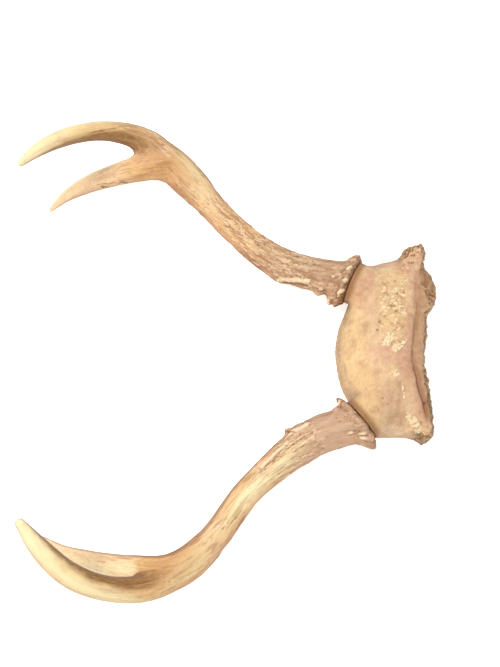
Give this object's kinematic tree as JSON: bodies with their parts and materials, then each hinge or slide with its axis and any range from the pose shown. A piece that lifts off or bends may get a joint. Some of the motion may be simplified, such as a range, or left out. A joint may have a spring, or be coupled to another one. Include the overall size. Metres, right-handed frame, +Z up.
{
  "type": "pair of deer antlers on a skull plate",
  "caption": "Pair of forked deer antlers, each with a burr, beam, main tine and rear tine, on a sawn skull plate that rests forehead up.",
  "frame": {"origin": "on the resting surface, under the middle of the whole object's box", "axes": "+X towards the animal's nose, +Y towards the animal's left, +Z up out of the forehead; the antlers sweep back along -X"},
  "size_m": [0.2807, 0.3262, 0.0977],
  "materials": {
    "skull_bone": "matte",
    "antler_bone": "satin"
  },
  "bodies": {
    "root": {"skull_plate": "skull_bone", "left_beam": "antler_bone", "left_tine": "antler_bone", "right_beam": "antler_bone", "right_tine": "antler_bone"}
  },
  "joints": []
}
